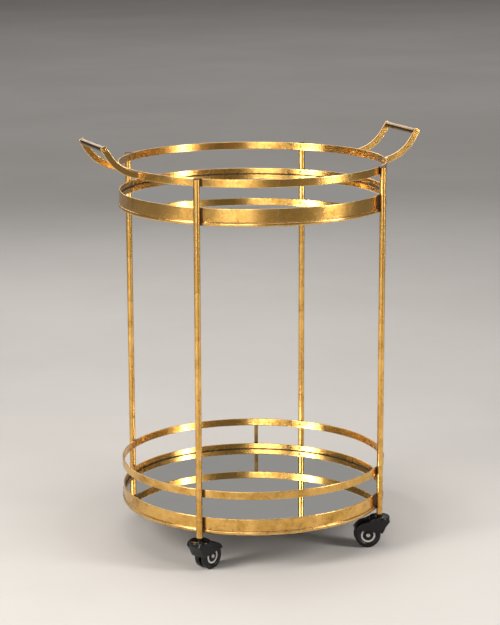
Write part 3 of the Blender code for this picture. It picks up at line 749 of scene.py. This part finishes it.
# ------ screws
def screw_mesh(name, radius, height, shank, reach, thread=0.0):
    """Domed socket head on its back: shank up +Z to its reach, six-sided recess below."""
    socket = 0.42 * radius
    profile = []
    if thread:
        profile.append((0.55 * shank, reach, 0.0))
        level = reach - 0.0003
        while level > reach - thread:
            profile += [(shank, level, 0.6), (0.84 * shank, level - THREAD_PITCH / 2.0, 0.0)]
            level -= THREAD_PITCH
    else:
        profile.append((0.8 * shank, reach, 0.0))
    profile += [
        (shank, reach - max(thread, 0.0003), 0.0),
        (shank, 0.0, 0.0),
        (radius - 0.0002, 0.0, 0.0),
        (radius, -0.0002, 1.0),
    ]
    rim = 0.25 * height
    edge = 1.12 * socket
    for step in range(1, DOME_STEPS):
        turn = math.radians(90.0) * step / DOME_STEPS
        out = edge + (radius - edge) * math.cos(turn)
        profile.append((out, -rim - (height - rim) * math.sin(turn), 0.6))
    profile.append((1.14 * socket, -height, 0.5))
    rows = [circle(out, level, SCREW_STEPS) for out, level, _ in profile]
    rows.append(polygon(0.96 * socket, -height + 0.0001, SCREW_STEPS, 6))
    rows.append(polygon(0.90 * socket, -0.45 * height, SCREW_STEPS, 6))
    worn = [amount for _, _, amount in profile] + [0.3, 0.0]
    return loft(name, rows, [[amount] * SCREW_STEPS for amount in worn], False)


def add_post_screws():
    """Heads of the screws that hold the rails and trays to the posts, inside each ring."""
    head = screw_mesh(
        "ring_screw", RING_SCREW_RADIUS, RING_SCREW_HEAD, RING_SCREW_SHANK, RING_SCREW_REACH
    )
    seats = []
    for tier in ("lower", "upper"):
        low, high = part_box(f"{tier}_gallery_rail")
        seats.append((f"{tier}_rail", RING_RADIUS - RAIL_THICKNESS, (low.z + high.z) / 2.0))
        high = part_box(f"{tier}_tray_ring")[1]
        inner = RING_RADIUS - BEAD_PROUD - TRAY_WALL
        seats.append((f"{tier}_tray", inner, high.z - TRAY_SCREW_DROP))
    for corner in CORNERS:
        way = upright(f"post_{corner}").normalized()
        for seat, radius, height in seats:
            point = way * (radius - WAVER) + UP * height
            name = f"{seat}_screw_{corner}"
            piece(name, head, "screw", "screws", place=lined_up(point, way))


# ------ handles
def arm_section(centre, across, upward, half_thick, half_high):
    """Eased rectangle about a point, with how worn each of its points is."""
    ease = min(ARM_EDGE, 0.45 * half_high, 0.45 * half_thick)
    corners = [
        (half_thick, half_high, ease),
        (-half_thick, half_high, ease),
        (-half_thick, -half_high, ease),
        (half_thick, -half_high, ease),
    ]
    points, worn = eased(corners)
    return [centre + across * point.x + upward * point.y for point in points], worn


def arm_rows():
    """Sections of one flat arm.

    It runs along the rail as a foot, out through a tight bend, and up in a curve to a squared tip.
    """
    half = ARM_HEIGHT / 2.0
    foot_radius = RING_RADIUS + GAP + FOOT_THICKNESS / 2.0
    turn_start = math.asin((ARM_SPREAD + FOOT_BEND) / (foot_radius + FOOT_BEND))
    bend_x = (foot_radius + FOOT_BEND) * math.cos(turn_start)
    end_x = GRIP_X - ARM_STRAIGHT * math.cos(ARM_TIP_SLOPE)
    end_z = GRIP_Z - ARM_STRAIGHT * math.sin(ARM_TIP_SLOPE)
    middle_x = end_x - ARM_BEND_RADIUS * math.sin(ARM_TIP_SLOPE)
    middle_z = end_z + ARM_BEND_RADIUS * math.cos(ARM_TIP_SLOPE)
    root_slope = math.asin((bend_x - middle_x) / ARM_BEND_RADIUS)
    root_z = middle_z - ARM_BEND_RADIUS * math.cos(root_slope)
    rows = []
    wears = []

    def add(centre, across, upward, half_thick, half_high):
        row, worn = arm_section(centre, across, upward, half_thick, half_high)
        rows.append(row)
        wears.append(worn)

    foot_half = FOOT_THICKNESS / 2.0
    for step in range(ARM_FOOT_STEPS + 1):
        inset = FOOT_INSETS[min(step, 2)]
        angle = FOOT_END + (turn_start - FOOT_END) * step / ARM_FOOT_STEPS
        angle -= FOOT_SHIFTS[min(step, 2)] / foot_radius
        across = level_way(angle)
        centre = across * foot_radius + UP * FRAME_Z
        add(centre, across, UP, foot_half - 0.4 * inset, half - FOOT_SLIMMER - inset)
    bend_centre = Vector((bend_x, ARM_SPREAD + FOOT_BEND, 0.0))
    heading_start = turn_start - math.radians(90.0)
    for step in range(1, ARM_FOOT_STEPS + 1):
        share = step / ARM_FOOT_STEPS
        heading = heading_start * (1.0 - share)
        across = Vector((-math.sin(heading), math.cos(heading), 0.0))
        height = FRAME_Z + (root_z - FRAME_Z) * share * share
        tilt = root_slope * share
        along = level_way(heading)
        upward = (UP * math.cos(tilt) - along * math.sin(tilt)).normalized()
        thick = foot_half + (ARM_THICKNESS / 2.0 - foot_half) * share
        centre = bend_centre - across * FOOT_BEND + UP * height
        add(centre, across, upward, thick, half - FOOT_SLIMMER * (1.0 - share))
    across = Vector((0.0, 1.0, 0.0))
    thick = ARM_THICKNESS / 2.0
    middle = Vector((middle_x, ARM_SPREAD, middle_z))
    for step in range(1, ARM_CURVE_STEPS + 1):
        slope = root_slope + (ARM_TIP_SLOPE - root_slope) * step / ARM_CURVE_STEPS
        upward = Vector((-math.sin(slope), 0.0, math.cos(slope)))
        add(middle - upward * ARM_BEND_RADIUS, across, upward, thick, half)
    ahead = Vector((math.cos(ARM_TIP_SLOPE), 0.0, math.sin(ARM_TIP_SLOPE)))
    upward = Vector((-math.sin(ARM_TIP_SLOPE), 0.0, math.cos(ARM_TIP_SLOPE)))
    bend_end = Vector((end_x, ARM_SPREAD, end_z))
    for share in (0.35, 0.7, 1.0):
        add(bend_end + ahead * ARM_STRAIGHT * share, across, upward, thick, half)
    tip = Vector((GRIP_X, ARM_SPREAD, GRIP_Z))
    for step in range(ARM_CORNER_STEPS + 1):
        share = step / ARM_CORNER_STEPS
        turn = math.radians(90.0) * share
        reach = ARM_PAST_GRIP - ARM_CORNER + ARM_CORNER * math.sin(turn)
        high = half - ARM_CORNER + ARM_CORNER * math.cos(turn)
        add(tip + ahead * reach, across, upward, thick - 0.0006 * share**6, high)
    return rows, wears


def mirrored(rows, sign_x, sign_y):
    return [[Vector((p.x * sign_x, p.y * sign_y, p.z)) for p in row] for row in rows]


def add_handles():
    """Arms, the screws at both of their ends, and the grips between them."""
    rows, wears = arm_rows()
    sizes = (HANDLE_SCREW_RADIUS, FOOT_SCREW_HEAD, HANDLE_SCREW_SHANK, FOOT_SCREW_REACH)
    foot_screw = screw_mesh("foot_screw", *sizes, FOOT_SCREW_THREAD)
    sizes = (HANDLE_SCREW_RADIUS, GRIP_SCREW_HEAD, HANDLE_SCREW_SHANK, GRIP_SCREW_REACH)
    grip_screw = screw_mesh("grip_end_screw", *sizes)
    screw_angle = FOOT_END - FOOT_SCREW_FROM_END / RING_RADIUS
    for side, sign_x in (("left", -1.0), ("right", 1.0)):
        for place, sign_y in (("front", -1.0), ("back", 1.0)):
            end = f"{side}_{place}"
            name, node = f"arm_strap_{end}", f"handle_arm_{end}"
            arm = loft(name, mirrored(rows, sign_x, sign_y), wears, False)
            piece(name, arm, "handle", "gold_leaf", node)

            name, node = f"foot_screw_{end}", f"arm_screw_{end}"
            way = Vector((sign_x * math.cos(screw_angle), sign_y * math.sin(screw_angle), 0.0))
            seat = way * (RING_RADIUS - RAIL_THICKNESS - WAVER) + UP * FRAME_Z
            seated = lined_up(seat, way)
            piece(name, foot_screw, "screw", "screws", node, place=seated)

            name, node = f"grip_end_screw_{end}", f"grip_screw_{end}"
            outside = ARM_SPREAD + ARM_THICKNESS / 2.0
            seat = Vector((sign_x * GRIP_X, sign_y * outside, GRIP_Z))
            seated = lined_up(seat, (0.0, -sign_y, 0.0))
            piece(name, grip_screw, "screw", "screws", node, place=seated)
        half = (GRIP_HIGH.y - GRIP_LOW.y) / 2.0
        rim = GRIP_RADIUS - 0.0002
        end = GRIP_RADIUS - 0.0008
        profile = [(end, -half, 0.3), (rim, -half + 0.0002, 1.0)]
        for step in range(GRIP_STEPS + 1):
            swell = GRIP_SWELL * noise.noise(Vector((sign_x, 0.4 * step, 2.0)))
            level = (half - 0.0008) * (2.0 * step / GRIP_STEPS - 1.0)
            profile.append((GRIP_RADIUS - GRIP_SWELL + swell, level))
        profile += [(rim, half - 0.0002, 1.0), (end, half, 0.3)]
        name = f"grip_bar_{side}"
        bar = stacked(name, profile, POST_STEPS)
        seated = lined_up((sign_x * GRIP_X, 0.0, GRIP_Z), (0.0, 1.0, 0.0))
        piece(name, bar, "grip", "gold_leaf", f"grip_{side}", place=seated)


# ------ stay
def add_stay():
    """Strip on the outside of the lower tier, with a flat-headed rivet in each ring."""
    low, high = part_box("rail_stay")
    near = RING_RADIUS + GAP
    far = near + STAY_THICKNESS
    half = STAY_WIDTH / 2.0
    corners = [
        (near, -half, 0.0002),
        (far, -half, 0.0007),
        (far, half, 0.0007),
        (near, half, 0.0002),
    ]
    outline, worn = eased(corners)
    middle = Vector((near + STAY_THICKNESS / 2.0, 0.0))
    rows = []
    wear = []
    for level in range(STAY_LEVELS + 1):
        share = level / STAY_LEVELS
        height = low.z + (high.z - low.z) * share
        at_end = level in (0, STAY_LEVELS)
        draw = 0.0006 if at_end else 0.00004 * noise.noise(Vector((3.0, 20.0 * share, 1.0)))
        drawn = [middle + (point - middle) * (1.0 - draw / half) for point in outline]
        rows.append([Vector((*point, height)) for point in drawn])
        wear.append([1.0] * len(outline) if at_end else worn)
    strap = loft("stay_strap", rows, wear, False)
    turn = Matrix.Rotation(STAY_AZIMUTH, 4, "Z")
    piece("stay_strap", strap, "stay", "gold_leaf", "rail_stay", place=turn)
    profile = [
        (0.0018, 0.0004),
        (0.0018, -0.0001),
        (0.0016, -0.0005, 1.0),
        (0.0011, -0.0008, 1.0),
        (0.0004, -0.0009),
    ]
    rivet = stacked("stay_rivet", profile, RIVET_STEPS)
    way = level_way(STAY_AZIMUTH)
    for place, height in (("high", high.z - RIVET_FROM_TOP), ("low", low.z + RIVET_FROM_BOTTOM)):
        seated = lined_up(way * far + UP * height, -way)
        piece(f"stay_rivet_{place}", rivet, "stay", "screws", place=seated)


# ------ casters
def bevelled(thing, width, segments):
    """Round the sharp edges."""
    modifier = thing.modifiers.new("round_edges", "BEVEL")
    modifier.width = width
    modifier.segments = segments
    modifier.limit_method = "ANGLE"
    modifier.angle_limit = BEVEL_ANGLE
    bake(thing)


def bake(thing):
    """Swap the mesh for what its modifiers make of it."""
    bpy.context.view_layer.update()
    graph = bpy.context.evaluated_depsgraph_get()
    baked = bpy.data.meshes.new_from_object(thing.evaluated_get(graph))
    thing.modifiers.clear()
    thing.data = baked


def loose(name, mesh):
    thing = bpy.data.objects.new(name, mesh)
    bpy.context.scene.collection.objects.link(thing)
    return thing


def combine(target, mesh, operation):
    """Exact Boolean of a piece under construction with a tool mesh."""
    other = loose("tool", mesh)
    modifier = target.modifiers.new("combine", "BOOLEAN")
    modifier.operation = operation
    modifier.solver = "EXACT"
    modifier.object = other
    bake(target)
    bpy.data.objects.remove(other)


def slab(name, outline, half):
    """Extrude an (x, z) outline to both sides of the XZ plane."""
    bm = bmesh.new()
    face = bm.faces.new([bm.verts.new((x, -half, z)) for x, z in outline])
    grown = bmesh.ops.extrude_face_region(bm, geom=[face])
    moved = [item for item in grown["geom"] if isinstance(item, bmesh.types.BMVert)]
    bmesh.ops.translate(bm, vec=(0.0, 2.0 * half, 0.0), verts=moved)
    return finish_mesh(bm, name)


def drum(radius, low, high, steps, place, along_y=True):
    """Plain round tool from low to high along Y, or along Z."""
    mesh = stacked("tool", [(radius, low), (radius, high)], steps)
    turn = Matrix.Rotation(math.radians(-90.0), 4, "X") if along_y else Matrix.Identity(4)
    mesh.transform(Matrix.Translation(Vector(place)) @ turn)
    return mesh


def arc(centre, radius, start, end, steps):
    """Points from start to end, in degrees, round a centre."""
    turns = [math.radians(start + (end - start) * step / steps) for step in range(steps + 1)]
    x, z = centre
    return [(x + radius * math.cos(turn), z + radius * math.sin(turn)) for turn in turns]


def hood_shell():
    """Round turret over the stem, visor over both wheels, web and axle eye between them."""
    hub = (CASTER_TRAIL, WHEEL_RADIUS)
    cavity = WHEEL_RADIUS + HOOD_WHEEL_GAP
    outer = cavity + HOOD_WALL - 0.0002
    foot = HOOD_TOP - TURRET_HEIGHT
    outline = [(hub[0] - back * outer, hub[1] + up * WHEEL_RADIUS) for back, up in NOSE]
    outline += [
        (-0.92 * TURRET_RADIUS, foot),
        (-0.72 * TURRET_RADIUS, HOOD_TOP - 0.0008),
        (0.55 * TURRET_RADIUS, HOOD_TOP - 0.0008),
    ]
    outline += arc(hub, outer, VISOR_START, VISOR_END, VISOR_STEPS)
    shell = loose("hood_shell", slab("hood_shell", outline, HOOD_HALF - 0.0001))
    bevelled(shell, HOOD_ROUNDING, 3)
    profile = [
        (TURRET_RADIUS, foot + 0.0004),
        (TURRET_RADIUS, HOOD_TOP - 0.0030),
        (TURRET_RADIUS - 0.0003, HOOD_TOP - 0.0019),
        (TURRET_RADIUS - 0.0010, HOOD_TOP - 0.0010),
        (TURRET_RADIUS - 0.0020, HOOD_TOP - 0.0004),
        (TURRET_RADIUS - 0.0036, HOOD_TOP - 0.0001),
        (0.0072, HOOD_TOP),
        (0.0066, HOOD_TOP - 0.0007),
        (0.0060, HOOD_TOP - 0.0009),
        (0.0030, HOOD_TOP - 0.0009),
    ]
    combine(shell, stacked("turret", profile, TURRET_STEPS), "UNION")
    middle = (hub[0], 0.0, hub[1])
    inner = WEB_THICKNESS / 2.0 - 0.0003
    side = WHEEL_OUTER + HOOD_SIDE_GAP
    for near, far in ((inner, side), (-side, -inner)):
        combine(shell, drum(cavity, near, far, WHEEL_STEPS, middle), "DIFFERENCE")
    eye = arc(hub, EYE_RADIUS, EYE_START, EYE_END, EYE_STEPS)
    top = hub[1] + 0.80 * WHEEL_RADIUS
    web = eye + [(hub[0] + 0.60 * WHEEL_RADIUS, top), (hub[0] - 0.95 * WHEEL_RADIUS, top)]
    combine(shell, slab("web", web, WEB_THICKNESS / 2.0), "UNION")
    combine(shell, drum(AXLE_RADIUS + 0.0002, -0.01, 0.01, PIN_STEPS, middle), "DIFFERENCE")
    bottom, top = HOOD_TOP - STEM_BORE_DEPTH, HOOD_TOP + 0.01
    bore = drum(STEM_RADIUS + RUN, bottom, top, PIN_STEPS, (0.0, 0.0, 0.0), along_y=False)
    combine(shell, bore, "DIFFERENCE")
    mesh = shell.data
    mesh.name = "hood_shell"
    mesh.shade_smooth()
    mesh.set_sharp_from_angle(angle=HOOD_SHARP_ANGLE)
    mesh.materials.clear()
    bpy.data.objects.remove(shell)
    return mesh


def wheel_shape():
    """Wheel about +Z, its outer face up.

    Round-shouldered tread with a faint parting line, and a dished face with a raised hub.
    """
    low = WHEEL_OUTER - WHEEL_WIDTH
    high = WHEEL_OUTER - 0.0001
    floor = WHEEL_OUTER - DISH_DEPTH
    profile = [
        (AXLE_RADIUS + RUN, low),
        (AXLE_RADIUS + RUN, floor + 0.0010),
        (0.0046, floor + 0.0012, 1.0),
        (0.0062, floor + 0.0012, 1.0),
        (0.0065, floor + 0.0009, 0.5),
        (0.0067, floor),
        (DISH_RADIUS - 0.0004, floor),
        (DISH_RADIUS + 0.0004, floor + 0.0004),
        (DISH_RADIUS + 0.0012, high - 0.0006, 0.6),
        (DISH_RADIUS + 0.0020, high - 0.0001, 1.0),
        (DISH_RADIUS + 0.0028, high, 0.4),
    ]
    tread = WHEEL_RADIUS - 0.0001
    shoulder = tread - TREAD_SHOULDER
    corner = (shoulder, high - TREAD_SHOULDER)
    profile += [(*point, 0.5) for point in arc(corner, TREAD_SHOULDER, 90.0, 0.0, SHOULDER_STEPS)]
    middle = (low + high) / 2.0
    profile += [
        (tread, middle + PARTING_HALF),
        (tread - PARTING_DEPTH, middle),
        (tread, middle - PARTING_HALF),
    ]
    corner = (shoulder, low + TREAD_SHOULDER)
    profile += [(*point, 0.5) for point in arc(corner, TREAD_SHOULDER, 0.0, -90.0, SHOULDER_STEPS)]
    return stacked("wheel_tyre", profile, WHEEL_STEPS, True)


def band_shape():
    """Pale ring set into the wheel's face."""
    floor = WHEEL_OUTER - DISH_DEPTH
    profile = [
        (BAND_INNER, floor - 0.0003),
        (BAND_INNER, floor + 0.0004),
        (BAND_INNER + 0.0003, floor + 0.0007, 0.6),
        (BAND_INNER + 0.0010, floor + 0.0009),
        (BAND_OUTER - 0.0010, floor + 0.0009),
        (BAND_OUTER - 0.0003, floor + 0.0007, 0.6),
        (BAND_OUTER, floor + 0.0004),
        (BAND_OUTER, floor - 0.0003),
    ]
    return stacked("wheel_band", profile, WHEEL_STEPS, True)


def axle_shape():
    """Plain pin with domed ends."""
    half = WHEEL_OUTER + RUN
    radius = AXLE_RADIUS
    profile = []
    for sign in (-1.0, 1.0):
        end = [
            (0.0006, sign * (half - 0.0006)),
            (0.0016, sign * (half - 0.0002)),
            (radius - 0.0010, sign * (half - 0.0001)),
            (radius - 0.0003, sign * (half - 0.0004), 1.0),
            (radius, sign * (half - 0.0010), 0.6),
        ]
        profile += end if sign < 0.0 else end[::-1]
    return stacked("axle_pin", profile, PIN_STEPS)


def stem_shape(name, low, high, shoulder):
    """Turned stem: its shoulder stands between the hood's top and the post's foot."""
    rim = STEM_SHOULDER - 0.0002
    profile = [
        (STEM_RADIUS, low),
        (STEM_RADIUS, HOOD_TOP + GAP),
        (rim, HOOD_TOP + GAP),
        (STEM_SHOULDER, HOOD_TOP + GAP + 0.0002, 1.0),
        (STEM_SHOULDER, shoulder - 0.0002, 1.0),
        (rim, shoulder),
        (STEM_RADIUS, shoulder),
        (STEM_RADIUS, high - 0.0006),
        (STEM_RADIUS - 0.0005, high, 1.0),
    ]
    return stacked(name, profile, PIN_STEPS)


def bush_shape(name, low, high):
    """Sleeve round the stem, inside the post."""
    bore = STEM_RADIUS + 0.0002
    profile = [
        (bore, low),
        (bore, high),
        (BUSH_RADIUS - 0.0004, high),
        (BUSH_RADIUS, high - 0.0006, 1.0),
        (BUSH_RADIUS, low + 0.0003, 1.0),
        (BUSH_RADIUS - 0.0002, low),
    ]
    return stacked(name, profile, PIN_STEPS, True)


def add_casters():
    """Hoods on the swivels, wheels and bands on the wheels; axles ride with the hoods."""
    hood = hood_shell()
    tyre = wheel_shape()
    band = band_shape()
    pin = axle_shape()
    for corner in CORNERS:
        post = upright(f"post_{corner}")
        hub = upright(f"caster_axle_{corner}")
        way = math.atan2(hub.y - post.y, hub.x - post.x)
        swivel = Matrix.Translation(post) @ Matrix.Rotation(way, 4, "Z")
        body = f"swivel_{corner}"
        name, node = f"hood_{corner}", f"caster_hood_{corner}"
        piece(name, hood, "hood", "black_plastic", node, body=body, place=swivel)
        middle = swivel @ Matrix.Translation((CASTER_TRAIL, 0.0, WHEEL_RADIUS))
        for side, turn in (("a", 90.0), ("b", -90.0)):
            out = middle @ Matrix.Rotation(math.radians(turn), 4, "X")
            wheel = f"wheel_{corner}_{side}"
            name = f"tyre_{corner}_{side}"
            piece(name, tyre, "tread", "wheel_black", wheel, body=wheel, place=out)
            piece(f"band_{corner}_{side}", band, "band", "wheel_black", body=wheel, place=out)
        name, node = f"axle_{corner}", f"caster_axle_{corner}"
        across = middle @ Matrix.Rotation(math.radians(90.0), 4, "X")
        piece(name, pin, "steel", "steel", node, body=body, place=across)

        place = Matrix.Translation(post)
        name, node = f"stem_{corner}", f"caster_stem_{corner}"
        low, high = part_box(node)
        stem = stem_shape(name, low.z, high.z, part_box(f"post_{corner}")[0].z - GAP)
        piece(name, stem, "pin", "steel", node, place=place)

        name, node = f"bush_{corner}", f"stem_socket_{corner}"
        low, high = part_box(node)
        bush = bush_shape(name, low.z, high.z)
        piece(name, bush, "plug", "black_plastic", node, place=place)


add_tier("lower", 1.0)
add_tier("upper", 2.0)
add_posts()
add_post_screws()
add_handles()
add_stay()
add_casters()

# ------ floor, light, view
AZIMUTH = math.radians(22.5)  # the view is turned this far from the cart's own front
PITCH = math.radians(12.4485)
ROLL = math.radians(-0.179)
LENS = 115.91
SENSOR = 36.0
FLOOR_HALF = 40.0
CART_MIDDLE = (0.0, 0.0, 0.40)
TO_RIGHT = Vector((math.cos(AZIMUTH), -math.sin(AZIMUTH), 0.0))
TO_BACK = Vector((math.sin(AZIMUTH), math.cos(AZIMUTH), 0.0))


def studio(right, back, up):
    """Point by its distance to the right of, behind and above the cart's middle, as the view sees it."""
    return TO_RIGHT * right + TO_BACK * back + UP * up


def add_floor():
    s = Shader("floor_paint")
    where = s.coords()
    tint = s.span(s.noise(where, 0.7, 5.0, 0.6), 0.3, 0.7)
    s.set(Base_Color=s.mix(tint, (0.60, 0.585, 0.57), (0.66, 0.645, 0.63)), Roughness=0.75)
    bm = bmesh.new()
    bmesh.ops.create_grid(bm, x_segments=8, y_segments=8, size=FLOOR_HALF)
    mesh = finish_mesh(bm, "studio_floor")
    mesh.materials.append(s.material)
    floor = bpy.data.objects.new("studio_floor", mesh)
    bpy.context.scene.collection.objects.link(floor)


def add_area(name, place, target, size, power, colour):
    """Area light of that width and height, aimed at the target."""
    lamp = bpy.data.lights.new(name, "AREA")
    lamp.shape = "RECTANGLE"
    lamp.size, lamp.size_y = size
    lamp.energy = power
    lamp.color = colour
    thing = bpy.data.objects.new(name, lamp)
    bpy.context.scene.collection.objects.link(thing)
    thing.location = place
    thing.rotation_euler = (Vector(target) - Vector(place)).to_track_quat("-Z", "Y").to_euler()


def add_camera():
    ahead = TO_BACK * math.cos(PITCH) - UP * math.sin(PITCH)
    above = TO_RIGHT.cross(ahead)
    right = TO_RIGHT * math.cos(ROLL) + above * math.sin(ROLL)
    above = above * math.cos(ROLL) - TO_RIGHT * math.sin(ROLL)
    data = bpy.data.cameras.new("camera")
    data.lens = LENS
    data.sensor_width = SENSOR
    data.clip_end = 200.0
    camera = bpy.data.objects.new("camera", data)
    bpy.context.scene.collection.objects.link(camera)
    turn = Matrix((right, above, -ahead)).transposed().to_4x4()
    camera.matrix_world = Matrix.Translation(studio(-0.0054, -3.861, 1.298)) @ turn
    bpy.context.scene.camera = camera


def add_world():
    world = bpy.data.worlds.new("studio")
    world.use_nodes = True
    back = world.node_tree.nodes["Background"]
    back.inputs["Color"].default_value = (0.86, 0.83, 0.80, 1.0)
    back.inputs["Strength"].default_value = 0.15
    bpy.context.scene.world = world


LIGHTS = (  # name, place, target, size, power, colour
    ("key_light", studio(-2.1, -1.5, 1.5), CART_MIDDLE, (0.9, 1.8), 76.0, (1.0, 0.95, 0.88)),
    ("front_light", studio(-0.75, -3.3, 0.80), (0.0, 0.0, 0.58), (1.7, 0.9), 32.0, (1.0, 0.95, 0.88)),
    ("right_light", studio(2.2, -0.9, 1.2), CART_MIDDLE, (0.45, 1.7), 42.0, (1.0, 0.96, 0.91)),
    ("back_light", studio(-0.8, 2.8, 2.1), CART_MIDDLE, (3.0, 1.2), 24.0, (1.0, 0.97, 0.93)),
    ("top_light", studio(0.2, -0.3, 3.0), CART_MIDDLE, (1.6, 1.6), 20.0, (1.0, 0.97, 0.94)),
    ("backdrop_light", studio(0.0, 3.2, 1.75), (0.0, 0.0, 0.5), (5.0, 1.7), 5.0, (1.0, 0.95, 0.91)),
    ("far_light", studio(0.0, 8.0, 6.5), studio(0.0, 8.0, 0.0), (16.0, 10.0), 260.0, (1.0, 0.97, 0.94)),
)

add_floor()
for light in LIGHTS:
    add_area(*light)
add_world()
add_camera()

bpy.context.scene.view_settings.view_transform = "Standard"
